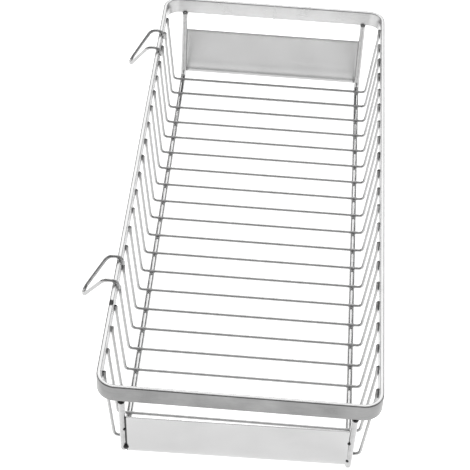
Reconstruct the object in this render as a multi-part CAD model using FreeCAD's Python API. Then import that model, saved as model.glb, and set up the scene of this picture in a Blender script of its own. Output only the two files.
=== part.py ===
"""Dish drying rack: a long, shallow basket of round wire hung inside a flat steel rim.

Two heavy wires run the length of the floor and turn up at both ends as posts that
carry the rim. Thin cross wires lie on them and climb to the inside of the rim on
both long sides. A sheet closes each end between its two posts, and two wire hooks
reach over the rim on the left long side. Every joint is welded.

Frame: X across the basket with the hooks on the negative side, Y along it, Z up.
The origin is the middle of the basket on the surface that it stands on.
All sizes are in millimetres.
"""
import FreeCAD, Part

import math
import os

from FreeCAD import Vector

# ---- Overall sizes ----
BASKET_LENGTH = 500.0        # over the rim, along Y
BASKET_WIDTH = 210.0         # over the rim, along X
BASKET_HEIGHT = 86.0         # from the surface it stands on to the top of the rim

# ---- Rim: flat bar on edge ----
BAND_HEIGHT = 15.0
BAND_THICKNESS = 3.4
RIM_CORNER_RADIUS = 15.0     # outside
BAND_EDGE_RADIUS = 1.0
SEAM_WIDTH = 1.6             # butt joint in the middle of the back side
SEAM_CROWN = 0.3             # how far its weld stands proud of the bar's faces

# ---- Long wires and their posts ----
LONG_WIRE = 5.0              # diameter
LONG_WIRE_INSET = 8.4        # from the cross wires' floor corner in to the long wire
LONG_BEND_RADIUS = 4.0       # centreline, between floor run and post
POST_MARGIN = 1.0            # the post's outer side stays this far inside the rim
POST_LEAN = 9.5              # each post's foot is this much nearer the middle than its top

# ---- Cross wires ----
CROSS_WIRE = 2.5             # diameter
CROSS_WIRE_COUNT = 21
END_GAP = 23.0               # from the rim's end to the nearest cross wire
SIDE_FLARE = 6.45            # how far each side leans out between floor and rim
FLOOR_BEND_RADIUS = 3.5      # centreline
RIM_BEND_RADIUS = 20.0       # centreline, where the side straightens along the rim
TOP_GAP_LEFT = 9.5           # from the rim's top down to the wire's end
TOP_GAP_RIGHT = 6.0

# ---- End plates ----
PLATE_HEIGHT = 45.8          # along its slope
PLATE_THICKNESS = 1.0
PLATE_FOOT = {"front": 5.5, "back": 8.0}   # height of the middle of the lower edge
PLATE_TILT = {"front": 1.5, "back": 0.0}   # degrees in its own plane; in front it lowers the left
PLATE_OFFSET = 1.5           # its middle plane, outwards from the posts' axes

# ---- Hooks: hairpins over the left side of the rim ----
HOOK_WIRE = 3.0              # diameter
HOOK_SPREAD = 27.0           # between the two legs where they cross the rim
HOOK_INNER_DROP = 4.0        # how far the legs go down inside the rim
HOOK_LIFT = 1.5              # from the rim's top up to the underside of the arch's top
HOOK_INSIDE_BEND = 5.0       # inside radius of the bend onto the rim's inner face
HOOK_SHOULDER = 6.9          # from the rim's outer face to the corner of the outer bend
HOOK_OUTER_BEND = 8.4        # centreline
HOOK_SLOPE = 57.0            # degrees below level
HOOK_REACH = 33.0            # along the slope, from that corner to the tip
HOOK_TIP_RADIUS = 5.5        # centreline
HOOK_ENDS = {"hook_front": (-1, 119.5), "hook_back": (1, 75.0)}  # end, distance from it

# ---- Weld beads ----
END_BEAD = 1.9               # radius, on the cross wires' ends and the hook legs
CROSSING_BEAD = 1.35         # radius, where a cross wire lies on a long wire
POST_BEAD_FLANGE = 0.7       # how far the post's bead stands out from the post
PLATE_BEAD = 1.8             # radius
PLATE_BEADS = {"front": (0.35, 0.88), "back": (0.25, 0.74)}  # share of height from the top

# ---- Places that follow from the sizes ----
RIM_TOP = BASKET_HEIGHT
RIM_BOTTOM = RIM_TOP - BAND_HEIGHT
RIM_INNER_X = BASKET_WIDTH / 2 - BAND_THICKNESS
RIM_INNER_Y = BASKET_LENGTH / 2 - BAND_THICKNESS

CROSS_WIRE_Z = LONG_WIRE + CROSS_WIRE / 2
CROSS_SIDE_X = RIM_INNER_X - CROSS_WIRE / 2
CROSS_FLOOR_X = CROSS_SIDE_X - SIDE_FLARE
CROSS_PITCH = (BASKET_LENGTH - 2 * END_GAP) / (CROSS_WIRE_COUNT - 1)
CROSS_WIRE_YS = [
    END_GAP - BASKET_LENGTH / 2 + index * CROSS_PITCH for index in range(CROSS_WIRE_COUNT)
]

LONG_WIRE_X = CROSS_FLOOR_X - LONG_WIRE_INSET
LONG_WIRE_Z = LONG_WIRE / 2
POST_TOP_Y = BASKET_LENGTH / 2 - POST_MARGIN - LONG_WIRE / 2
POST_FOOT_Y = POST_TOP_Y - POST_LEAN
POST_ANGLE = math.atan2(POST_LEAN, RIM_BOTTOM - LONG_WIRE_Z)

X_AXIS = Vector(1, 0, 0)
Y_AXIS = Vector(0, 1, 0)
Z_AXIS = Vector(0, 0, 1)
ORIGIN = Vector(0, 0, 0)


def bent_path(corners, bend_radii):
    """Centreline of a bent wire: straight runs, with a tangent arc at each inner corner."""
    edges = []
    start = corners[0]
    for before, corner, after, radius in zip(corners, corners[1:], corners[2:], bend_radii):
        backwards = (before - corner).normalize()
        onwards = (after - corner).normalize()
        half_angle = backwards.getAngle(onwards) / 2
        setback = radius / math.tan(half_angle)
        inwards = (backwards + onwards).normalize()
        arc_start = corner + backwards * setback
        arc_middle = corner + inwards * (radius / math.sin(half_angle) - radius)
        arc_end = corner + onwards * setback
        edges.append(Part.LineSegment(start, arc_start).toShape())
        edges.append(Part.Arc(arc_start, arc_middle, arc_end).toShape())
        start = arc_end
    edges.append(Part.LineSegment(start, corners[-1]).toShape())
    return Part.Wire(edges)


def bent_wire(corners, bend_radii, diameter):
    """Solid round wire along a bent path, with square-cut ends."""
    path = bent_path(corners, bend_radii)
    section = Part.makeCircle(diameter / 2, corners[0], corners[1] - corners[0])
    return path.makePipeShell([Part.Wire([section])], True, False)


def block(x_range, y_range, z_range):
    """Box between two coordinates on each axis."""
    corner = Vector(x_range[0], y_range[0], z_range[0])
    sizes = [high - low for low, high in (x_range, y_range, z_range)]
    return Part.makeBox(*sizes, corner)


def rounded_block(width, length, bottom, top, corner_radius):
    """Upright block centred on the Z axis, with rounded corners in plan."""
    sharp = block((-width / 2, width / 2), (-length / 2, length / 2), (bottom, top))
    uprights = [edge for edge in sharp.Edges if edge.BoundBox.ZLength > (top - bottom) / 2]
    return sharp.makeFillet(corner_radius, uprights)


def half_turn(shape):
    """Copy of a shape, turned half round the Z axis: front and back ends are alike."""
    turned = shape.copy()
    turned.rotate(ORIGIN, Z_AXIS, 180)
    return turned


def post_axis_y(height):
    """Distance of a post's axis from the middle of the basket, at a height."""
    return POST_FOOT_Y + (height - LONG_WIRE_Z) * math.tan(POST_ANGLE)


def make_rim():
    """Closed flat band with softened edges, cut through at the butt joint."""
    outside = rounded_block(BASKET_WIDTH, BASKET_LENGTH, RIM_BOTTOM, RIM_TOP, RIM_CORNER_RADIUS)
    inside = rounded_block(
        2 * RIM_INNER_X, 2 * RIM_INNER_Y, RIM_BOTTOM - 1, RIM_TOP + 1,
        RIM_CORNER_RADIUS - BAND_THICKNESS,
    )
    band = outside.cut(inside)
    level_edges = [edge for edge in band.Edges if edge.BoundBox.ZLength < BAND_HEIGHT / 2]
    band = band.makeFillet(BAND_EDGE_RADIUS, level_edges)
    joint = block(
        (-SEAM_WIDTH / 2, SEAM_WIDTH / 2),
        (RIM_INNER_Y - 1, BASKET_LENGTH / 2 + 1),
        (RIM_BOTTOM - 1, RIM_TOP + 1),
    )
    return band.cut(joint)


def make_seam_weld():
    """Bead that fills the rim's butt joint and stands a little proud of both faces."""
    bead = block(
        (-SEAM_WIDTH / 2, SEAM_WIDTH / 2),
        (RIM_INNER_Y - SEAM_CROWN, BASKET_LENGTH / 2 + SEAM_CROWN),
        (RIM_BOTTOM, RIM_TOP),
    )
    level_edges = [edge for edge in bead.Edges if edge.BoundBox.XLength > SEAM_WIDTH / 2]
    return bead.makeFillet(BAND_EDGE_RADIUS, level_edges)


def make_long_wire(side):
    """Floor run with a leaning post at each end, cut level under the rim."""
    x = side * LONG_WIRE_X
    overrun_z = RIM_BOTTOM + LONG_WIRE
    corners = [
        Vector(x, -post_axis_y(overrun_z), overrun_z),
        Vector(x, -POST_FOOT_Y, LONG_WIRE_Z),
        Vector(x, POST_FOOT_Y, LONG_WIRE_Z),
        Vector(x, post_axis_y(overrun_z), overrun_z),
    ]
    wire = bent_wire(corners, [LONG_BEND_RADIUS] * 2, LONG_WIRE)
    above_posts = block(
        (x - LONG_WIRE, x + LONG_WIRE),
        (-BASKET_LENGTH, BASKET_LENGTH),
        (RIM_BOTTOM, RIM_BOTTOM + 3 * LONG_WIRE),
    )
    return wire.cut(above_posts)


def make_cross_wire():
    """One cross wire at Y = 0: a wide U whose sides end along the rim's inner face."""
    corners = [
        Vector(-CROSS_SIDE_X, 0, RIM_TOP - TOP_GAP_LEFT),
        Vector(-CROSS_SIDE_X, 0, RIM_BOTTOM),
        Vector(-CROSS_FLOOR_X, 0, CROSS_WIRE_Z),
        Vector(CROSS_FLOOR_X, 0, CROSS_WIRE_Z),
        Vector(CROSS_SIDE_X, 0, RIM_BOTTOM),
        Vector(CROSS_SIDE_X, 0, RIM_TOP - TOP_GAP_RIGHT),
    ]
    bends = [RIM_BEND_RADIUS, FLOOR_BEND_RADIUS, FLOOR_BEND_RADIUS, RIM_BEND_RADIUS]
    return bent_wire(corners, bends, CROSS_WIRE)


def on_back_slope(shape, end):
    """Tilt a plate's shape, drawn upright at the posts' axes, and lay it on the back posts' slope."""
    placed = shape.copy()
    placed.rotate(Vector(0, 0, PLATE_HEIGHT / 2), Y_AXIS, PLATE_TILT[end])
    placed.rotate(ORIGIN, X_AXIS, -math.degrees(POST_ANGLE))
    placed.translate(Vector(0, post_axis_y(PLATE_FOOT[end]), PLATE_FOOT[end]))
    return placed


def plate_end_x(offset):
    """Where a post's surface is, at an offset outwards from the posts' axes."""
    return LONG_WIRE_X - math.sqrt((LONG_WIRE / 2) ** 2 - offset ** 2)


def plate_slab(end):
    """A plate's sheet at the back, before its ends are shaped to the posts."""
    end_x = plate_end_x(PLATE_OFFSET + PLATE_THICKNESS / 2)
    slab = block(
        (-end_x, end_x),
        (PLATE_OFFSET - PLATE_THICKNESS / 2, PLATE_OFFSET + PLATE_THICKNESS / 2),
        (0, PLATE_HEIGHT),
    )
    return on_back_slope(slab, end)


def make_plate(end, long_wires):
    """Sheet of one end, drawn at the back, with its ends shaped to the round wire."""
    return plate_slab(end).cut(long_wires)


def make_plate_beads(end, long_wires):
    """Tacks in the corners between a plate and its posts, on both faces, drawn at the back."""
    blocked = long_wires.fuse(plate_slab(end))
    contact_x = plate_end_x(PLATE_OFFSET)
    beads = []
    for side in (-1, 1):
        for share in PLATE_BEADS[end]:
            spot = Vector(side * contact_x, PLATE_OFFSET, (1 - share) * PLATE_HEIGHT)
            ball = on_back_slope(Part.makeSphere(PLATE_BEAD, spot), end)
            beads += ball.cut(blocked).Solids
    return Part.makeCompound(beads)


def make_hook(centre_y, rim):
    """Hairpin over the rim, its legs notched where they are pressed onto the inner edge."""
    leg = HOOK_SPREAD / 2
    inner_x = -RIM_INNER_X + HOOK_WIRE / 2
    over_z = RIM_TOP + HOOK_LIFT + HOOK_WIRE / 2
    shoulder = Vector(-BASKET_WIDTH / 2 - HOOK_SHOULDER, centre_y, over_z)
    slope = math.radians(HOOK_SLOPE)
    down = Vector(-math.cos(slope), 0, -math.sin(slope))

    # The legs close in until they meet the tip's arc, so the point where they
    # would cross lies beyond the tip.
    tip_centre = HOOK_REACH - HOOK_TIP_RADIUS
    taper = math.atan2(leg, tip_centre) - math.asin(HOOK_TIP_RADIUS / math.hypot(leg, tip_centre))
    crossing = shoulder + down * (leg / math.tan(taper))

    corners = []
    for side in (-1, 1):
        across = Vector(0, side * leg, 0)
        run = [
            Vector(inner_x, centre_y, RIM_TOP - HOOK_INNER_DROP) + across,
            Vector(inner_x, centre_y, over_z) + across,
            shoulder + across,
        ]
        corners += run + [crossing] if side < 0 else run[::-1]
    leg_bends = [HOOK_INSIDE_BEND + HOOK_WIRE / 2, HOOK_OUTER_BEND]
    hook = bent_wire(corners, leg_bends + [HOOK_TIP_RADIUS] + leg_bends[::-1], HOOK_WIRE)
    return hook.cut(rim)


def make_wire_end_bead(side, top_gap):
    """Dome on a cross wire's end at Y = 0, run onto the rim's inner face."""
    top = RIM_TOP - top_gap
    ball = Part.makeSphere(END_BEAD, Vector(side * CROSS_SIDE_X, 0, top))
    keep = block(
        (-RIM_INNER_X, RIM_INNER_X), (-2 * END_BEAD, 2 * END_BEAD), (top, top + 2 * END_BEAD)
    )
    return ball.common(keep)


def make_hook_bead(y):
    """Dome under a hook leg's end, run onto the rim's inner face."""
    end = RIM_TOP - HOOK_INNER_DROP
    ball = Part.makeSphere(END_BEAD, Vector(-RIM_INNER_X + HOOK_WIRE / 2, y, end))
    keep = block(
        (-RIM_INNER_X, 0), (y - 2 * END_BEAD, y + 2 * END_BEAD), (end - 2 * END_BEAD, end)
    )
    return ball.common(keep)


def make_crossing_bead(side):
    """Bead in the corner in front of a crossing at Y = 0, between the two wires."""
    x = side * LONG_WIRE_X
    reach = 2 * CROSSING_BEAD
    spot = Vector(x, -CROSS_WIRE / 2 - CROSSING_BEAD / 2, LONG_WIRE + CROSSING_BEAD / 4)
    ball = Part.makeSphere(CROSSING_BEAD, spot)
    long_run = Part.makeCylinder(
        LONG_WIRE / 2, 4 * reach, Vector(x, -2 * reach, LONG_WIRE_Z), Y_AXIS
    )
    cross_run = Part.makeCylinder(
        CROSS_WIRE / 2, 2 * reach, Vector(x - reach, 0, CROSS_WIRE_Z), X_AXIS
    )
    return ball.cut(long_run).cut(cross_run)


def make_post_beads(rim, long_wires):
    """Collars that join the four posts to the rim's underside and inner face."""
    beads = []
    for side in (-1, 1):
        for end in (-1, 1):
            top = Vector(side * LONG_WIRE_X, end * POST_TOP_Y, RIM_BOTTOM)
            ball = Part.makeSphere(LONG_WIRE / 2 + POST_BEAD_FLANGE, top)
            beads += ball.cut(rim).cut(long_wires).Solids
    return Part.makeCompound(beads)


def along_basket(piece):
    """One copy of a piece made at Y = 0 for each cross wire."""
    return [piece.translated(Vector(0, y, 0)) for y in CROSS_WIRE_YS]


def build():
    """All nodes of the rack, by name."""
    nodes = {}
    rim = make_rim()
    left_wire = make_long_wire(-1)
    right_wire = make_long_wire(1)
    long_wires = Part.makeCompound([left_wire, right_wire])

    nodes["rim_band"] = rim
    nodes["rim_seam_weld"] = make_seam_weld()
    nodes["long_wire_left"] = left_wire
    nodes["long_wire_right"] = right_wire
    for number, wire in enumerate(along_basket(make_cross_wire()), start=1):
        nodes[f"cross_wire_{number:02d}"] = wire
    nodes["end_plate_back"] = make_plate("back", long_wires)
    nodes["end_plate_front"] = half_turn(make_plate("front", long_wires))

    hook_leg_ys = []
    for name, (end, distance) in HOOK_ENDS.items():
        centre_y = end * (BASKET_LENGTH / 2 - distance)
        nodes[name] = make_hook(centre_y, rim)
        hook_leg_ys += [centre_y - HOOK_SPREAD / 2, centre_y + HOOK_SPREAD / 2]

    nodes["hook_welds"] = Part.makeCompound([make_hook_bead(y) for y in hook_leg_ys])
    nodes["post_welds"] = make_post_beads(rim, long_wires)
    nodes["plate_welds_back"] = make_plate_beads("back", long_wires)
    nodes["plate_welds_front"] = half_turn(make_plate_beads("front", long_wires))
    for label, side, top_gap in (("left", -1, TOP_GAP_LEFT), ("right", 1, TOP_GAP_RIGHT)):
        end_beads = along_basket(make_wire_end_bead(side, top_gap))
        crossing_beads = along_basket(make_crossing_bead(side))
        # The bead nearest each end reaches the start of the long wire's bend.
        long_wire = nodes[f"long_wire_{label}"]
        nodes[f"wire_end_welds_{label}"] = Part.makeCompound(end_beads)
        nodes[f"crossing_welds_{label}"] = Part.makeCompound(crossing_beads).cut(long_wire)
    return nodes


os.makedirs("parts", exist_ok=True)
for node_name, node_shape in build().items():
    node_shape.exportStep(f"parts/{node_name}.step")
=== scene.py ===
# %% [markdown]
# # A dish drying rack in stainless steel
# The rack is a long, shallow wire basket inside a flat steel rim, with a sheet at
# each end and two wire hooks on its left side. The CAD model fixes every size and
# place. This lesson models each part again, finely enough for a close look, and
# gives it the finish of the real metal. First comes the CAD model, which the new
# pieces stand in for one by one.

import math
import random

import bmesh
import bpy
from mathutils import Matrix, Vector, noise


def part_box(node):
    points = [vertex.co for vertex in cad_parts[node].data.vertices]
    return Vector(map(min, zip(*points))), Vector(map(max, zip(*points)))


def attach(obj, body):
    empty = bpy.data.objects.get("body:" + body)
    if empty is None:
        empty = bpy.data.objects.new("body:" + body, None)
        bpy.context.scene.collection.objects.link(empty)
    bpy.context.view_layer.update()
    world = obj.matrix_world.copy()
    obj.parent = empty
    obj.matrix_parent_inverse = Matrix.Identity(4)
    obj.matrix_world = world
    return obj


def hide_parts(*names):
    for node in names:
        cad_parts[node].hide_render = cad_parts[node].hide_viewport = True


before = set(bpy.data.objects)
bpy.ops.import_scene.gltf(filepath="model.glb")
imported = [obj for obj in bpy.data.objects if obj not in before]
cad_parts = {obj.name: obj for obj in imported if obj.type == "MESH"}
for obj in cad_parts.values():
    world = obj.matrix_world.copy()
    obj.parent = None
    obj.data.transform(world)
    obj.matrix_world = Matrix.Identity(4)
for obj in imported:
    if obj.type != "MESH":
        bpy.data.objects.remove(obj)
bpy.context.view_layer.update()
MM = 0.001
print("nodes:", len(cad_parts))

# %% [markdown]
# Lengths and places are read from the boxes of the CAD nodes, so the pieces meet where
# the real ones do: the rim gives length, width and height, and a long wire gives its own
# place. Only the thicknesses of bar and wire are stated, because they are stock sizes.

# %% Read the sizes from the CAD boxes
rim_low, rim_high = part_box("rim_band")
long_low, long_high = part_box("long_wire_right")
CROSS_NAMES = sorted(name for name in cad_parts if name.startswith("cross_wire_"))

BAND_THICKNESS = 3.4 * MM
RIM_CORNER_RADIUS = 15 * MM
RIM_TOP = rim_high.z
RIM_BOTTOM = rim_low.z
RIM_INNER_X = rim_high.x - BAND_THICKNESS
RIM_INNER_Y = rim_high.y - BAND_THICKNESS

LONG_WIRE = 5 * MM
LONG_WIRE_X = (long_low.x + long_high.x) / 2
CROSS_WIRE = 2.5 * MM
CROSS_WIRE_Z = LONG_WIRE + CROSS_WIRE / 2
print("rim inside in mm:", round(RIM_INNER_X / MM, 2), round(RIM_INNER_Y / MM, 2))
print("long wire at x in mm:", round(LONG_WIRE_X / MM, 2), "cross wires:", len(CROSS_NAMES))

# %% [markdown]
# Every piece ends the same way. Its bmesh becomes a mesh object, smooth except where
# two faces meet at a real edge. The object stays at the origin, because the place is
# in the mesh. It rides on the rack's one body, keeps the material slot it is given,
# and replaces the CAD node that it stands for.

# %% A helper that finishes a piece
SHARP_EDGE = math.radians(38)
pieces = {}


def finish_piece(bm, node, slot):
    """Turn a bmesh into the piece that stands for a CAD node."""
    bmesh.ops.recalc_face_normals(bm, faces=bm.faces)
    for face in bm.faces:
        face.smooth = True
    for edge in bm.edges:
        edge.smooth = edge.calc_face_angle(0) < SHARP_EDGE
    mesh = bpy.data.meshes.new(node)
    bm.to_mesh(mesh)
    open_edges = sum(edge.is_boundary for edge in bm.edges)
    bm.free()
    piece = bpy.data.objects.new(f"{node}_piece", mesh)
    bpy.context.scene.collection.objects.link(piece)
    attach(piece, "root")
    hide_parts(node)
    pieces[node] = (piece, slot)
    low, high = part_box(node)
    size = [round((high[i] - low[i]) / MM, 1) for i in range(3)]
    print(node, "faces", len(mesh.polygons), "open edges", open_edges, "CAD size", size)


# %% [markdown]
# The rim is flat bar stood on edge, bent round four corners and welded into a ring.
# A curve with a bevel could make it, but a face is simpler: one rectangle whose
# corners are rounded, inset by the bar's thickness, is the ring seen from above.
# Raising that ring gives the band, and a small bevel softens its long edges.

# %% The rim as a raised ring
CORNER_STEPS = 14
BAND_EDGE_RADIUS = 1 * MM


def turned_edges(bm, least_angle):
    """The edges where two faces meet at more than an angle."""
    return [edge for edge in bm.edges if edge.calc_face_angle(0) > least_angle]


rim = bmesh.new()
bmesh.ops.create_grid(rim, x_segments=1, y_segments=1, size=1)
bmesh.ops.scale(rim, verts=rim.verts, vec=(rim_high.x, rim_high.y, 1))
bmesh.ops.translate(rim, verts=rim.verts, vec=(0, 0, RIM_BOTTOM))
bmesh.ops.bevel(
    rim, geom=rim.verts[:], offset=RIM_CORNER_RADIUS, segments=CORNER_STEPS,
    profile=0.5, affect="VERTICES", material=-1,
)
middle = rim.faces[:]
bmesh.ops.inset_region(
    rim, faces=middle, thickness=BAND_THICKNESS, use_boundary=True, use_even_offset=True
)
bmesh.ops.delete(rim, geom=middle, context="FACES_ONLY")
raised = bmesh.ops.extrude_face_region(rim, geom=rim.faces[:])["geom"]
bmesh.ops.translate(
    rim, verts=[v for v in raised if isinstance(v, bmesh.types.BMVert)],
    vec=(0, 0, RIM_TOP - RIM_BOTTOM),
)
bmesh.ops.recalc_face_normals(rim, faces=rim.faces)
bmesh.ops.bevel(
    rim, geom=turned_edges(rim, math.radians(60)), offset=BAND_EDGE_RADIUS, segments=4,
    profile=0.5, affect="EDGES", material=-1,
)
print("rim faces before the joint:", len(rim.faces))

# %% [markdown]
# The bar's two ends meet in the middle of the back side, where a weld fills a narrow
# gap. Two cuts by a plane and the removal of what lies between them open that gap,
# and the weld is a slim block with rounded edges that stands a little proud.

# %% The rim's butt joint and its weld
SEAM_WIDTH = 1.6 * MM
SEAM_CROWN = 0.1 * MM
SEAM_OVERLAP = 1.2
SEAM_ROUNDING = 0.45 * MM
JOINT_MARGIN = 1 * MM
for side in (-1, 1):
    near_joint = [
        f for f in rim.faces if f.calc_center_median().y > RIM_INNER_Y - JOINT_MARGIN
    ]
    touched = {g for f in near_joint for g in (*f.verts, *f.edges)} | set(near_joint)
    bmesh.ops.bisect_plane(
        rim, geom=list(touched), dist=1e-7,
        plane_co=(side * SEAM_WIDTH / 2, 0, 0), plane_no=(1, 0, 0),
    )
in_joint = [
    f for f in rim.faces
    if f.calc_center_median().y > 0 and abs(f.calc_center_median().x) < SEAM_WIDTH / 2
]
bmesh.ops.delete(rim, geom=in_joint, context="FACES")
bmesh.ops.holes_fill(rim, edges=[edge for edge in rim.edges if edge.is_boundary], sides=0)
finish_piece(rim, "rim_band", "bar")


def rounded_bar(size, centre, rounding, turn=Matrix.Identity(3)):
    """A slim block with rounded edges, turned before it is placed."""
    bm = bmesh.new()
    bmesh.ops.create_cube(bm, size=1)
    bmesh.ops.scale(bm, verts=bm.verts, vec=size)
    bmesh.ops.bevel(
        bm, geom=bm.edges[:], offset=rounding, segments=3, profile=0.5,
        affect="EDGES", material=-1,
    )
    bmesh.ops.rotate(bm, verts=bm.verts, cent=(0, 0, 0), matrix=turn)
    bmesh.ops.translate(bm, verts=bm.verts, vec=centre)
    return bm


seam = rounded_bar(
    (SEAM_WIDTH * SEAM_OVERLAP, BAND_THICKNESS + 2 * SEAM_CROWN, RIM_TOP - RIM_BOTTOM),
    (0, rim_high.y - BAND_THICKNESS / 2, (RIM_TOP + RIM_BOTTOM) / 2),
    SEAM_ROUNDING,
)
finish_piece(seam, "rim_seam_weld", "weld")

# %% [markdown]
# All the wires are round stock bent in a former. A curve with a round bevel is the
# quick way, but it leaves the ends open and its rings bunch up in tight bends. Here a
# circle is pushed along each straight run and spun round each bend, as the former
# does it, and the cut ends are closed and rounded off.

# %% A helper that bends wire


def end_ring(geometry):
    """The verts and edges among a result's pieces."""
    return [g for g in geometry if isinstance(g, (bmesh.types.BMVert, bmesh.types.BMEdge))]


def push_ring(bm, ring, move):
    """Draw the wire's open end along a straight run."""
    edges = [g for g in ring if isinstance(g, bmesh.types.BMEdge)]
    pushed = end_ring(bmesh.ops.extrude_edge_only(bm, edges=edges)["geom"])
    verts = [g for g in pushed if isinstance(g, bmesh.types.BMVert)]
    bmesh.ops.translate(bm, verts=verts, vec=move)
    return verts + [e for e in pushed if isinstance(e, bmesh.types.BMEdge)
                    and all(v in verts for v in e.verts)]


def bent_wire(corners, bend_radii, diameter, sides, bend_step, end_round):
    """A round wire along straight runs, bent at each inner corner, with rounded ends."""
    bm = bmesh.new()
    heading = (corners[1] - corners[0]).normalized()
    facing = heading.to_track_quat("Z", "Y").to_matrix().to_4x4()
    bmesh.ops.create_circle(
        bm, segments=sides, radius=diameter / 2, matrix=Matrix.Translation(corners[0]) @ facing
    )
    ring = bm.verts[:] + bm.edges[:]
    start = corners[0]
    for before, corner, after, radius in zip(corners, corners[1:], corners[2:], bend_radii):
        arriving = (corner - before).normalized()
        leaving = (after - corner).normalized()
        turn = arriving.angle(leaving)
        axis = arriving.cross(leaving).normalized()
        setback = radius * math.tan(turn / 2)
        bend_start = corner - arriving * setback
        ring = push_ring(bm, ring, bend_start - start)
        spun = bmesh.ops.spin(
            bm, geom=ring, cent=bend_start + axis.cross(arriving) * radius, axis=axis,
            angle=turn, steps=max(2, round(turn / bend_step)), use_duplicate=False,
        )
        ring = end_ring(spun["geom_last"])
        start = corner + leaving * setback
    push_ring(bm, ring, corners[-1] - start)
    caps = bmesh.ops.holes_fill(bm, edges=[e for e in bm.edges if e.is_boundary], sides=0)
    if end_round:
        cap_edges = list({edge for face in caps["faces"] for edge in face.edges})
        bmesh.ops.bevel(
            bm, geom=cap_edges, offset=end_round, segments=3, profile=0.5,
            affect="EDGES", material=-1,
        )
    return bm


# %% [markdown]
# Two heavy wires carry the basket. Each runs along the floor and turns up at both ends
# into a post that leans outwards and is cut level under the rim. The bend helper makes
# the run, and two cuts by level planes trim the posts.

# %% The two long wires
LONG_BEND_RADIUS = 4 * MM
POST_LEAN = 9.5 * MM
POST_INSET = 1 * MM
POST_TOP_Y = rim_high.y - POST_INSET - LONG_WIRE / 2
POST_FOOT_Y = POST_TOP_Y - POST_LEAN
POST_ANGLE = math.atan2(POST_LEAN, RIM_BOTTOM - LONG_WIRE / 2)
BEND_STEP = math.radians(9)
LONG_WIRE_SIDES = 32


def post_y(height):
    """How far from the middle a post's axis is at a height."""
    return POST_FOOT_Y + (height - LONG_WIRE / 2) * math.tan(POST_ANGLE)


def cut_and_close(bm, place, outwards, geometry=None):
    """Cut away what lies beyond a plane and close the cut."""
    geometry = geometry or bm.verts[:] + bm.edges[:] + bm.faces[:]
    cut = bmesh.ops.bisect_plane(
        bm, geom=geometry, dist=1e-7, plane_co=place, plane_no=outwards, clear_outer=True
    )
    rims = [g for g in cut["geom_cut"] if isinstance(g, bmesh.types.BMEdge) and g.is_boundary]
    bmesh.ops.holes_fill(bm, edges=rims, sides=0)


OVERRUN_Z = RIM_BOTTOM + LONG_WIRE
for node, side in (("long_wire_left", -1), ("long_wire_right", 1)):
    x = side * LONG_WIRE_X
    corners = [
        Vector((x, -post_y(OVERRUN_Z), OVERRUN_Z)),
        Vector((x, -POST_FOOT_Y, LONG_WIRE / 2)),
        Vector((x, POST_FOOT_Y, LONG_WIRE / 2)),
        Vector((x, post_y(OVERRUN_Z), OVERRUN_Z)),
    ]
    wire = bent_wire(corners, [LONG_BEND_RADIUS] * 2, LONG_WIRE, LONG_WIRE_SIDES, BEND_STEP, 0)
    cut_and_close(wire, (0, 0, RIM_BOTTOM), (0, 0, 1))
    finish_piece(wire, node, "heavy_wire")

# %% [markdown]
# Twenty-one thin wires cross the floor and climb both sides. Each is the same wide U,
# so one function bends them all. A hand-made rack is never perfectly even, so each
# wire gets its own small error in height and place, a fraction of a millimetre.

# %% The cross wires
RIM_BEND_RADIUS = 20 * MM
FLOOR_BEND_RADIUS = 3.5 * MM
SIDE_FLARE = 6.45 * MM
TOP_GAP = {-1: 9.5 * MM, 1: 6 * MM}
CROSS_SIDE_X = RIM_INNER_X - CROSS_WIRE / 2
CROSS_FLOOR_X = CROSS_SIDE_X - SIDE_FLARE
CROSS_WIRE_SIDES = 20
END_ROUND = 0.3 * MM
PLACE_ERROR = 0.35 * MM
HEIGHT_ERROR = 0.5 * MM
uneven = random.Random(5)


def error(most):
    """A maker's small error, up to a size either way."""
    return uneven.uniform(-most, most)


wire_ends = {-1: [], 1: []}
crossings = {-1: [], 1: []}
for node in CROSS_NAMES:
    low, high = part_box(node)
    y = (low.y + high.y) / 2
    left_y = y + error(PLACE_ERROR)
    right_y = y + error(PLACE_ERROR)
    left_top = RIM_TOP - TOP_GAP[-1] + error(HEIGHT_ERROR)
    right_top = RIM_TOP - TOP_GAP[1] + error(HEIGHT_ERROR)
    corners = [
        Vector((-CROSS_SIDE_X, left_y, left_top)),
        Vector((-CROSS_SIDE_X, left_y, RIM_BOTTOM)),
        Vector((-CROSS_FLOOR_X, y, CROSS_WIRE_Z)),
        Vector((CROSS_FLOOR_X, y, CROSS_WIRE_Z)),
        Vector((CROSS_SIDE_X, right_y, RIM_BOTTOM)),
        Vector((CROSS_SIDE_X, right_y, right_top)),
    ]
    bends = [RIM_BEND_RADIUS, FLOOR_BEND_RADIUS, FLOOR_BEND_RADIUS, RIM_BEND_RADIUS]
    wire = bent_wire(corners, bends, CROSS_WIRE, CROSS_WIRE_SIDES, BEND_STEP, END_ROUND)
    finish_piece(wire, node, "cross_wire")
    wire_ends[-1].append(corners[0])
    wire_ends[1].append(corners[-1])
    for side in (-1, 1):
        crossings[side].append(Vector((side * LONG_WIRE_X, y, LONG_WIRE)))
print("cross wires bent:", len(wire_ends[1]))

# %% [markdown]
# A thin sheet closes each end between the posts, on the posts' slope. Thin sheet is
# never flat once it has been welded at its corners, so the block is divided into a
# fine grid and its surface is moved in and out by a tenth of a millimetre, which bends
# the reflections as the real sheet does. The front sheet was tacked on a little askew:
# it hangs lower on the left, so it is turned in its own plane first.

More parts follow.
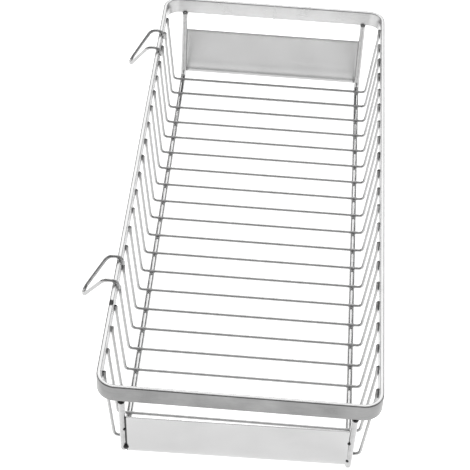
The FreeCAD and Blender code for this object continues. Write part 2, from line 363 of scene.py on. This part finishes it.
# %% The end plates
PLATE_HEIGHT = 45.8 * MM
PLATE_THICKNESS = 1 * MM
PLATE_FOOT = {-1: 5.5 * MM, 1: 8 * MM}
PLATE_TILT = {-1: math.radians(1.5), 1: 0.0}
PLATE_OFFSET = 1.5 * MM
PLATE_GAP = 0.4 * MM
PLATE_FAR_FACE = PLATE_OFFSET + PLATE_THICKNESS / 2
POST_HALF_CHORD = math.sqrt((LONG_WIRE / 2) ** 2 - PLATE_FAR_FACE ** 2)
PLATE_END_X = LONG_WIRE_X - POST_HALF_CHORD - PLATE_GAP
PLATE_ROUNDING = 0.18 * MM
PLATE_CUTS_ALONG = 55
PLATE_CUTS_UP = 14
PLATE_WAVE = 55 * MM
PLATE_DEPTH = 0.10 * MM
WAVES_APART = 7


def on_slope(x, outwards, up, end):
    """A point of the plate at one end, from the middle of its lower edge."""
    foot = PLATE_FOOT[end]
    tilt = PLATE_TILT[end]
    above = up - PLATE_HEIGHT / 2
    across = x * math.cos(tilt) - above * math.sin(tilt)
    up = x * math.sin(tilt) + above * math.cos(tilt) + PLATE_HEIGHT / 2
    y = post_y(foot) + outwards * math.cos(POST_ANGLE) + up * math.sin(POST_ANGLE)
    z = foot - outwards * math.sin(POST_ANGLE) + up * math.cos(POST_ANGLE)
    return Vector((across, end * y, z))


for node, end in (("end_plate_front", -1), ("end_plate_back", 1)):
    plate = rounded_bar(
        (2 * PLATE_END_X, PLATE_THICKNESS, PLATE_HEIGHT),
        on_slope(0, PLATE_OFFSET, PLATE_HEIGHT / 2, end),
        PLATE_ROUNDING,
        Matrix.Rotation(-end * POST_ANGLE, 3, "X") @ Matrix.Rotation(-PLATE_TILT[end], 3, "Y"),
    )
    long_edges = [e for e in plate.edges if e.calc_length() > PLATE_END_X]
    bmesh.ops.subdivide_edges(plate, edges=long_edges, cuts=PLATE_CUTS_ALONG, use_grid_fill=True)
    tall_edges = [e for e in plate.edges if e.calc_length() > PLATE_HEIGHT / 2]
    bmesh.ops.subdivide_edges(plate, edges=tall_edges, cuts=PLATE_CUTS_UP, use_grid_fill=True)
    for vert in plate.verts:
        wave = noise.noise(vert.co / PLATE_WAVE + Vector((0, WAVES_APART * end, 0)))
        vert.co.y += PLATE_DEPTH * wave
    finish_piece(plate, node, "sheet")

# %% [markdown]
# Each hook is one hairpin of wire. Its two legs start inside the rim, go over it in an
# arch and slope down outside, and they meet in a round tip. The corner where the legs
# would cross lies beyond the tip, so the bend at that corner is the tip itself.

# %% The hooks
HOOK_WIRE = 3 * MM
HOOK_SPREAD = 27 * MM
HOOK_INNER_DROP = 4 * MM
HOOK_LIFT = 1.5 * MM
HOOK_INNER_BEND = 6.5 * MM
HOOK_SHOULDER = 6.9 * MM
HOOK_OUTER_BEND = 8.4 * MM
HOOK_SLOPE = math.radians(57)
HOOK_REACH = 33 * MM
HOOK_TIP_RADIUS = 5.5 * MM
HOOK_INNER_X = -RIM_INNER_X + HOOK_WIRE / 2
HOOK_SIDES = 24
hook_legs = []

for node in ("hook_front", "hook_back"):
    low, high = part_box(node)
    centre_y = (low.y + high.y) / 2
    leg = HOOK_SPREAD / 2
    over_z = RIM_TOP + HOOK_LIFT + HOOK_WIRE / 2
    down = Vector((-math.cos(HOOK_SLOPE), 0, -math.sin(HOOK_SLOPE)))
    shoulder = Vector((rim_low.x - HOOK_SHOULDER, centre_y, over_z))
    tip_centre = HOOK_REACH - HOOK_TIP_RADIUS
    taper = math.atan2(leg, tip_centre) - math.asin(HOOK_TIP_RADIUS / math.hypot(leg, tip_centre))
    corners = []
    for side in (-1, 1):
        across = Vector((0, side * leg, 0))
        run = [
            Vector((HOOK_INNER_X, centre_y, RIM_TOP - HOOK_INNER_DROP)) + across,
            Vector((HOOK_INNER_X, centre_y, over_z)) + across,
            shoulder + across,
        ]
        hook_legs.append(run[0])
        corners += run + [shoulder + down * (leg / math.tan(taper))] if side < 0 else run[::-1]
    leg_bends = [HOOK_INNER_BEND, HOOK_OUTER_BEND]
    hook_bends = leg_bends + [HOOK_TIP_RADIUS] + leg_bends[::-1]
    hook = bent_wire(corners, hook_bends, HOOK_WIRE, HOOK_SIDES, BEND_STEP, END_ROUND)
    finish_piece(hook, node, "hook_wire")

# %% [markdown]
# Every joint is a small weld: a drop of metal that ran into the corner and froze. A
# sphere is the start of each. It is stretched, turned at random, made a little lumpy,
# and cut off flat where it meets a wall, so that its mesh stays closed.

# %% A helper that drops weld beads
LUMP = 0.13
LUMP_SIZE = 0.9 * MM


def drop_bead(bm, spot, radius, stretch=(1, 1, 1), walls=()):
    """Add one bead, lumpy and cut off at the walls it touches."""
    placed = (
        Matrix.Translation(spot)
        @ Matrix.Diagonal(Vector(stretch)).to_4x4()
        @ Matrix.Rotation(uneven.uniform(0, math.tau), 4, "Z")
    )
    added = bmesh.ops.create_icosphere(bm, subdivisions=3, radius=radius, matrix=placed)["verts"]
    for vert in added:
        lump = noise.noise(vert.co / LUMP_SIZE)
        vert.co += (vert.co - spot) * lump * LUMP
    for place, outwards in walls:
        own = {g for v in added if v.is_valid for g in (v, *v.link_edges, *v.link_faces)}
        cut = bmesh.ops.bisect_plane(
            bm, geom=list(own), dist=1e-7, plane_co=place, plane_no=outwards, clear_outer=True
        )
        edges = [g for g in cut["geom_cut"] if isinstance(g, bmesh.types.BMEdge)]
        bmesh.ops.holes_fill(bm, edges=edges, sides=0)
        added = [v for v in added if v.is_valid] + [
            g for g in cut["geom_cut"] if isinstance(g, bmesh.types.BMVert)
        ]


# %% [markdown]
# The ends of the cross wires and the legs of the hooks are melted onto the rim's inner
# face, so their beads stop at that face. On a cross wire the bead is a narrow streak
# that runs down its end. On a hook it is only a small drop.

# %% Beads on the rim's inner face
END_BEAD = 1.6 * MM
END_BEAD_SINK = 0.4 * MM
END_BEAD_ERROR = 0.5 * MM
HOOK_BEAD_DROP = 0.2 * MM
for node, side in (("wire_end_welds_left", -1), ("wire_end_welds_right", 1)):
    wall = [((side * RIM_INNER_X, 0, 0), (side, 0, 0))]
    beads = bmesh.new()
    for tip in wire_ends[side]:
        tall = uneven.uniform(1.0, 2.1)
        spot = tip + Vector((side * END_BEAD_SINK, error(END_BEAD_ERROR), -END_BEAD * (tall - 0.6)))
        drop_bead(beads, spot, END_BEAD, (0.92, uneven.uniform(0.4, 0.6), tall), wall)
    finish_piece(beads, node, "weld")

beads = bmesh.new()
wall = [((-RIM_INNER_X, 0, 0), (-1, 0, 0))]
for tip in hook_legs:
    spot = tip + Vector((0, 0, -HOOK_BEAD_DROP))
    drop_bead(beads, spot, END_BEAD, (0.9, 0.9, uneven.uniform(0.5, 0.7)), wall)
finish_piece(beads, "hook_welds", "weld")

# %% [markdown]
# Where a cross wire lies on a long wire, the two were pressed together and melted in
# one shot, which squeezes a little bead out in front of the crossing.

# %% Beads at the crossings
CROSSING_BEAD = 1.05 * MM
CROSSING_ERROR = 0.3 * MM
for node, side in (("crossing_welds_left", -1), ("crossing_welds_right", 1)):
    beads = bmesh.new()
    for crossing in crossings[side]:
        size = CROSSING_BEAD * uneven.uniform(0.85, 1.05)
        step = Vector((error(CROSSING_ERROR), -CROSS_WIRE / 2 - size / 2, size / 4))
        drop_bead(beads, crossing + step, size, (1.15, 0.9, 0.8))
    finish_piece(beads, node, "weld")

# %% [markdown]
# The posts carry the rim, so their welds are the largest: collars round the tops of the
# posts that run onto the rim's underside. The front ones were laid from in front, where
# they bulge and sag; the back ones do not. The end plates are only tacked to the posts.

# %% Collars on the posts and tacks on the plates
POST_BEADS = {(-1, -1): 2.8 * MM, (1, -1): 2.6 * MM, (-1, 1): 2.8 * MM, (1, 1): 2.65 * MM}
POST_BULGE = {-1: 1.3 * MM, 1: 0.0}
POST_SAG = {-1: 1.5 * MM, 1: 0.4 * MM}
POST_BEAD_PROUD = 0.2 * MM
beads = bmesh.new()
for (side, end), size in POST_BEADS.items():
    beside = end * (POST_TOP_Y + POST_BULGE[end])
    spot = Vector((side * LONG_WIRE_X, beside, RIM_BOTTOM - POST_SAG[end]))
    wall = [((0, end * (rim_high.y + POST_BEAD_PROUD), 0), (0, end, 0))]
    drop_bead(beads, spot, size, (1, 1, 0.75), wall)
finish_piece(beads, "post_welds", "weld")

PLATE_BEAD = 1.5 * MM
LARGE_TACK = 1.5
LARGE_TACK_PLACE = (-1, -1, 0.88)
PLATE_BEADS = {-1: ("plate_welds_front", (0.35, 0.88)), 1: ("plate_welds_back", (0.25, 0.74))}
for end, (node, shares) in PLATE_BEADS.items():
    beads = bmesh.new()
    for side in (-1, 1):
        for share in shares:
            spot = on_slope(
                side * (PLATE_END_X + PLATE_GAP), PLATE_OFFSET, (1 - share) * PLATE_HEIGHT, end
            )
            size = PLATE_BEAD * (LARGE_TACK if (end, side, share) == LARGE_TACK_PLACE else 1)
            drop_bead(beads, spot, size, (1, 1, uneven.uniform(0.9, 1.25)))
    finish_piece(beads, node, "weld")

# %% [markdown]
# The finishes are shaders built from nodes. Sums between sockets are written as plain
# Python: a Value wraps one socket, and an expression on Values adds the Math nodes.
# Any other node comes from the Recipe's one method, which takes the node's type, its
# settings and what goes into its sockets.

# %% Helpers for shader recipes


class Value:
    """One number on its way through a shader; sums on it add Math nodes."""

    def __init__(self, recipe, socket):
        self.recipe = recipe
        self.socket = socket

    def sum(self, operation, first, second):
        return self.recipe.node("ShaderNodeMath", {"operation": operation}, {0: first, 1: second})

    def __add__(self, other):
        return self.sum("ADD", self, other)

    def __sub__(self, other):
        return self.sum("SUBTRACT", self, other)

    def __mul__(self, other):
        return self.sum("MULTIPLY", self, other)

    def __abs__(self):
        return self.sum("ABSOLUTE", self, 0.0)

    __radd__ = __add__

    def larger(self, other):
        return self.sum("MAXIMUM", self, other)


class Recipe:
    """The node tree of one material or of the world."""

    def __init__(self, owner):
        owner.use_nodes = True
        self.tree = owner.node_tree
        self.tree.nodes.clear()

    def node(self, kind, settings, inputs, output=0):
        """Add a node, set it up, fill its sockets and return one of its outputs."""
        added = self.tree.nodes.new(kind)
        for name, value in settings.items():
            if name == "stops":
                self.set_stops(added.color_ramp, value)
            else:
                setattr(added, name, value)
        for name, value in inputs.items():
            if isinstance(value, Value):
                self.tree.links.new(value.socket, added.inputs[name])
            else:
                added.inputs[name].default_value = value
        if added.outputs:
            return Value(self, added.outputs[output])
        return None

    def set_stops(self, ramp, stops):
        """Give a colour ramp its stops: pairs of position and grey level."""
        while len(ramp.elements) < len(stops):
            ramp.elements.new(1)
        for element, (position, grey) in zip(ramp.elements, stops):
            element.position = position
            element.color = (grey, grey, grey, 1)

    def place(self):
        """The point being shaded, in the rack's own coordinates, in metres."""
        return self.node("ShaderNodeTexCoord", {}, {}, "Object")

    def split(self, vector):
        """The three coordinates of a point, as Values."""
        splitter = self.tree.nodes.new("ShaderNodeSeparateXYZ")
        self.tree.links.new(vector.socket, splitter.inputs[0])
        return [Value(self, socket) for socket in splitter.outputs]

    def join(self, x, y, z):
        """A point from three numbers."""
        return self.node("ShaderNodeCombineXYZ", {}, {0: x, 1: y, 2: z})

    def grain(self, place, scale, detail=2.0, roughness=0.5):
        """Noise between 0 and 1 at a point; scale counts its lumps per metre."""
        sockets = {"Vector": place, "Scale": scale, "Detail": detail, "Roughness": roughness}
        return self.node("ShaderNodeTexNoise", {}, sockets, "Fac")

    def step(self, value, low, high, first=0.0, last=1.0):
        """Smooth change from first to last as a value goes from low to high."""
        sockets = {0: value, 1: low, 2: high, 3: first, 4: last}
        return self.node("ShaderNodeMapRange", {"interpolation_type": "SMOOTHSTEP"}, sockets)

    def grey(self, value, dark, light):
        """A colour between a dark and a light grey."""
        stops = [(0, dark), (1, light)]
        return self.node("ShaderNodeValToRGB", {"stops": stops}, {"Fac": value}, "Color")

    def scorch_and_shade_grey(self, value, scorch_and_shade, dark, light):
        """A grey between dark and light that goes to black where scorch plus painted shade reaches
        1.
        """
        stops = [(0, 0.04), (0.5, dark), (1, light)]
        fac = value * 0.5 + 0.5 - scorch_and_shade
        return self.node("ShaderNodeValToRGB", {"stops": stops}, {"Fac": fac}, "Color")

    def metal(self, colour, roughness, bump):
        """Finish the material as metal with a colour, a roughness and a bump."""
        sockets = {"Base Color": colour, "Roughness": roughness, "Metallic": 1.0, "Normal": bump}
        shader = self.node("ShaderNodeBsdfPrincipled", {}, sockets)
        self.node("ShaderNodeOutputMaterial", {}, {"Surface": shader})

    def bump(self, height, depth, strength=1.0):
        """Bump from a height between 0 and 1; depth is its size in metres."""
        sockets = {"Height": height, "Distance": depth, "Strength": strength}
        return self.node("ShaderNodeBump", {}, sockets, "Normal")


# %% [markdown]
# Flat bar leaves the mill with fine lines along its length. On the rim those lines run
# round the ring, so the noise is stretched: coarse along the bar, fine up its height.
# The height is simply Z. Across the bar's top the fine direction is the distance from
# the ring's outline, worked out as for a rectangle with rounded corners. One weld on
# the left ran hot and left a scorched spot on the rim's top. The outer face is darkened
# all the way round with painted shade, and the inner face is lightened with a painted sheen.

# %% The rim's drawn finish
ALONG_BAR = 60
ACROSS_BAR = 2600
bar = bpy.data.materials.new("drawn_bar")
recipe = Recipe(bar)
place = recipe.place()
x, y, z = recipe.split(place)
beyond_x = (abs(x) - (rim_high.x - RIM_CORNER_RADIUS)).larger(0.0)
beyond_y = (abs(y) - (rim_high.y - RIM_CORNER_RADIUS)).larger(0.0)
from_corner = recipe.node(
    "ShaderNodeVectorMath", {"operation": "LENGTH"},
    {0: recipe.join(beyond_x, beyond_y, 0.0)}, "Value",
)
across = z * ACROSS_BAR + from_corner * ACROSS_BAR
lines = recipe.grain(recipe.join(x * ALONG_BAR, y * ALONG_BAR, across), 1.0, 3.0)
cloud = recipe.grain(place, 45.0, 3.0)
# Painted shade: the outer face and the top's outer edge are darker all the way round.
outer_face_shade = recipe.step(from_corner, RIM_CORNER_RADIUS - 1.2 * MM, RIM_CORNER_RADIUS - 0.2 * MM)
SCORCH_PLACE = Vector((-103.5 * MM, -164.5 * MM, RIM_TOP))
from_scorch = recipe.node(
    "ShaderNodeVectorMath", {"operation": "DISTANCE"}, {0: place, 1: SCORCH_PLACE}, "Value"
)
scorch = recipe.step(from_scorch + cloud * 3 * MM, 3 * MM, 5 * MM, 0.9, 0.0)
# Painted sheen: the inner face is lighter.
inner_edge = RIM_CORNER_RADIUS - BAND_THICKNESS
inner_face_sheen = recipe.step(from_corner, inner_edge + 0.2 * MM, inner_edge + 1 * MM, 1.0, 0.0)
grain_and_inner_sheen = lines * 0.35 + cloud * 0.65 + inner_face_sheen * 0.3
recipe.metal(
    recipe.scorch_and_shade_grey(grain_and_inner_sheen - outer_face_shade * 0.45, scorch + outer_face_shade * 0.19, 0.38, 0.66),
    0.20 + lines * 0.08 + cloud * 0.10,
    recipe.bump(lines, 0.012 * MM),
)

# %% [markdown]
# The wires are bright-drawn and then polished in a bath. The heavy ones are the
# shiniest parts, and the thin ones and the hooks have a softer shine. A thin wire is
# darkened near its tips with painted shade, the contact shadow where it meets the rim,
# on some far more than on others. The welding heat dulls it beside the long wires, which
# the point's own place tells. The frontmost one was welded hottest and is scorched
# beside both long wires.

# %% The wires' bright finish
# Above this height the thin wires' tips get painted shade.
SHADED_TIP_Z = 67 * MM
FRONT_WIRE_EDGE = (-225 * MM, -223 * MM)


def bright_wire(name, dark, light, blur, tip_z=None, joint_x=None):
    """Polished wire; its tips get uneven painted shade and its joints get scorch."""
    material = bpy.data.materials.new(name)
    recipe = Recipe(material)
    place = recipe.place()
    x, y, z = recipe.split(place)
    mottle = recipe.grain(place, 240.0, 3.0)
    pits = recipe.grain(place, 1500.0, 2.0)
    tip_shade_and_scorch = 0.0
    # Painted shade near the tips, where the wire meets the rim, uneven from wire to wire.
    if tip_z:
        each = recipe.grain(recipe.join(0.0, y, 0.0), 60.0, 0.0)
        above = z - recipe.step(x, -1 * MM, 1 * MM) * (TOP_GAP[-1] - TOP_GAP[1])
        at_tip = recipe.step(above, tip_z, tip_z + 4 * MM)
        tip_shade_and_scorch = at_tip * recipe.step(each, 0.38, 0.60, 0.05, 0.45)
    if joint_x:
        from_joint = abs(abs(x) - joint_x)
        front_wire = recipe.step(y, *FRONT_WIRE_EDGE, 1.0, 0.0)
        tip_shade_and_scorch = tip_shade_and_scorch + recipe.step(from_joint, 2 * MM, 5 * MM, 0.12, 0.0)
        tip_shade_and_scorch = tip_shade_and_scorch + recipe.step(from_joint, 3 * MM, 6 * MM, 0.7, 0.0) * front_wire
    recipe.metal(
        recipe.scorch_and_shade_grey(mottle, tip_shade_and_scorch, dark, light),
        blur + mottle * 0.10 + tip_shade_and_scorch * 0.2,
        recipe.bump(pits, 0.006 * MM),
    )
    return material


finishes = {
    "bar": bar,
    "heavy_wire": bright_wire("bright_heavy_wire", 0.36, 0.58, 0.13),
    "cross_wire": bright_wire(
        "bright_cross_wire", 0.40, 0.56, 0.28, SHADED_TIP_Z, LONG_WIRE_X
    ),
    "hook_wire": bright_wire("bright_hook_wire", 0.38, 0.54, 0.22),
}

# %% [markdown]
# The end plates are satin sheet: a fine even grain with faint clouds in it. The grain
# is too small to see as lines, so it shows only as a soft blur of the reflections. The
# front sheet's left edge lies in a dark crevice beside its post, so a strip along it is
# darkened with painted shade.

# %% The sheet's satin finish
CREVICE_X = (-82.9 * MM, -82.0 * MM)
sheet = bpy.data.materials.new("satin_sheet")
recipe = Recipe(sheet)
place = recipe.place()
x, y = recipe.split(place)[:2]
cloud = recipe.grain(place, 28.0, 3.0)
grain = recipe.grain(place, 2200.0, 2.0)
# Painted shade in the crevice along the front sheet's left edge.
crevice_shade = recipe.step(x, *CREVICE_X, 1.0, 0.0) * recipe.step(y, -0.1, 0.0, 1.0, 0.0)
recipe.metal(
    recipe.scorch_and_shade_grey(cloud * 0.7 + grain * 0.3, crevice_shade, 0.47, 0.63),
    0.19 + cloud * 0.06 + grain * 0.05,
    recipe.bump(grain, 0.006 * MM),
)
finishes["sheet"] = sheet

# %% [markdown]
# The weld beads keep the dark scale of the welding heat. It is very uneven, so a broad
# noise sets how dark each bead is, a fine one makes it patchy, and each row of welds
# has one place where it is darkest: where it ran hottest, and on the front post collars
# also painted shade, the band's shadow on the tops of the front posts. Scale is dull, so
# the dark patches are rough too. Each row of welds below states the grey of its scale,
# how much more or less scale it has, where along the rack it is darkest, and how far
# that reached. A reach of 1 mm at the middle stands for no such place.

# %% The welds' burnt finish


def weld_finish(name, black, scale, darkest_y, darkest_reach):
    """Weld metal under scale, most of it at one place along the rack."""
    material = bpy.data.materials.new(name)
    recipe = Recipe(material)
    place = recipe.place()
    y = recipe.split(place)[1]
    each = recipe.grain(place, 90.0, 1.0)
    patch = recipe.grain(place, 900.0, 3.0)
    # Darker round one place along the rack: heat, and on the front post collars painted shade.
    heat_and_shade = recipe.step(abs(y - darkest_y), darkest_reach / 2, darkest_reach, 0.25, 0.0)
    cover = recipe.step(each * 0.6 + patch * 0.4 + heat_and_shade + scale, 0.40, 0.72)
    recipe.metal(
        recipe.grey(cover, 0.42, black),
        0.22 + cover * 0.3,
        recipe.bump(patch, 0.05 * MM),
    )
    return material


WELD_LOOKS = {
    "wire_end_welds_left": (0.03, 0.0, -147 * MM, 30 * MM),
    "wire_end_welds_right": (0.08, 0.0, 40 * MM, 30 * MM),
    "hook_welds": (0.30, -0.14, 0.0, 1 * MM),
    "crossing_welds_left": (0.20, -0.04, -227 * MM, 12 * MM),
    "crossing_welds_right": (0.20, -0.04, -227 * MM, 12 * MM),
    # Front collars: their darkest place is weld scale and painted shade, the band's shadow on the
    # front posts.
    "post_welds": (0.02, -0.12, -250 * MM, 60 * MM),
    "plate_welds_front": (0.06, 0.0, -240 * MM, 20 * MM),
    "plate_welds_back": (0.25, -0.12, 0.0, 1 * MM),
}

# %% [markdown]
# Each piece takes the finish of its slot, with two exceptions. The weld beads have
# looks of their own, and the rim's butt joint was ground nearly flush and polished with
# the bar, so it has the bar's finish.

# %% Put the finishes on the pieces
for node, (piece, slot) in pieces.items():
    if node in WELD_LOOKS:
        finish = weld_finish(f"finish_of_{node}", *WELD_LOOKS[node])
    else:
        finish = finishes["bar" if node == "rim_seam_weld" else slot]
    piece.data.materials.append(finish)
print("finishes:", sorted(finishes), "pieces:", len(pieces))

# %% [markdown]
# The rack stands on a white table lit from within, as for a catalogue, which leaves no
# hard shadow. Polished metal shows only what is round it, so the room matters more
# than the lamps: the same pale table on every side, a bright soft box behind and
# above, and a dim room, which draws the dark lines along the wires.

# %% The table
FLOOR_SIZE = 8.0
table = bmesh.new()
bmesh.ops.create_grid(table, x_segments=1, y_segments=1, size=FLOOR_SIZE)
table_mesh = bpy.data.meshes.new("table")
table.to_mesh(table_mesh)
table.free()
floor = bpy.data.objects.new("table", table_mesh)
bpy.context.scene.collection.objects.link(floor)

paper = bpy.data.materials.new("white_table")
recipe = Recipe(paper)
fibre = recipe.grain(recipe.place(), 40.0, 3.0)
shader = recipe.node(
    "ShaderNodeBsdfPrincipled", {},
    {
        "Base Color": recipe.grey(fibre, 0.86, 0.90),
        "Roughness": 0.9,
        "Emission Color": recipe.grey(fibre, 0.98, 1.0),
        "Emission Strength": 0.95,
    },
)
recipe.node("ShaderNodeOutputMaterial", {}, {"Surface": shader})
floor.data.materials.append(paper)

# %% [markdown]
# The room itself is dim, and its light comes from four soft boxes. The large one
# behind is what the tops of the rim and the wires mirror, so its power sets how bright
# they are. The others only fill in from above and from the sides.

# %% The room and the lamps
world = bpy.data.worlds.new("room")
bpy.context.scene.world = world
recipe = Recipe(world)
room = recipe.node("ShaderNodeBackground", {}, {"Color": (1, 1, 1, 1), "Strength": 0.24})
recipe.node("ShaderNodeOutputWorld", {}, {"Surface": room})


def soft_box(name, place, width, height, power):
    """A large rectangular lamp aimed at the rack."""
    lamp = bpy.data.lights.new(name, "AREA")
    lamp.shape = "RECTANGLE"
    lamp.size = width
    lamp.size_y = height
    lamp.energy = power
    holder = bpy.data.objects.new(name, lamp)
    holder.location = place
    holder.rotation_euler = (-Vector(place)).to_track_quat("-Z", "Y").to_euler()
    bpy.context.scene.collection.objects.link(holder)


soft_box("back_box", (0, 2.6, 2.6), 4.0, 2.4, 54)
soft_box("top_box", (0, 0.3, 3.4), 2.0, 1.4, 10)
soft_box("left_box", (-3.0, 0.4, 1.6), 1.6, 1.6, 8)
soft_box("right_box", (3.0, 0.4, 1.6), 1.6, 1.6, 8)

# %% [markdown]
# The camera stands in front of the rack, a little under a metre up, and looks down on it
# along its length. It is turned slightly to the left and rolled by three degrees, as if
# held by hand. A long lens keeps the perspective mild. Its frame is square.

# %% The camera
LENS = 118.78
CAMERA_PLACE = Vector((0.01807, -0.99044, 0.92794))
TURNED_LEFT = math.radians(2.0713)
UP_FROM_PLUMB = math.radians(47.3017)
ROLLED = math.radians(2.9630)
camera_data = bpy.data.cameras.new("camera")
camera_data.lens = LENS
camera_data.sensor_width = 36
camera_data.dof.use_dof = False
camera = bpy.data.objects.new("camera", camera_data)
aim = (
    Matrix.Rotation(TURNED_LEFT, 4, "Z")
    @ Matrix.Rotation(UP_FROM_PLUMB, 4, "X")
    @ Matrix.Rotation(ROLLED, 4, "Z")
)
camera.matrix_world = Matrix.Translation(CAMERA_PLACE) @ aim
bpy.context.scene.collection.objects.link(camera)
bpy.context.scene.camera = camera
bpy.context.scene.view_settings.view_transform = "Standard"
print("camera height:", round(camera.matrix_world.translation.z, 3))
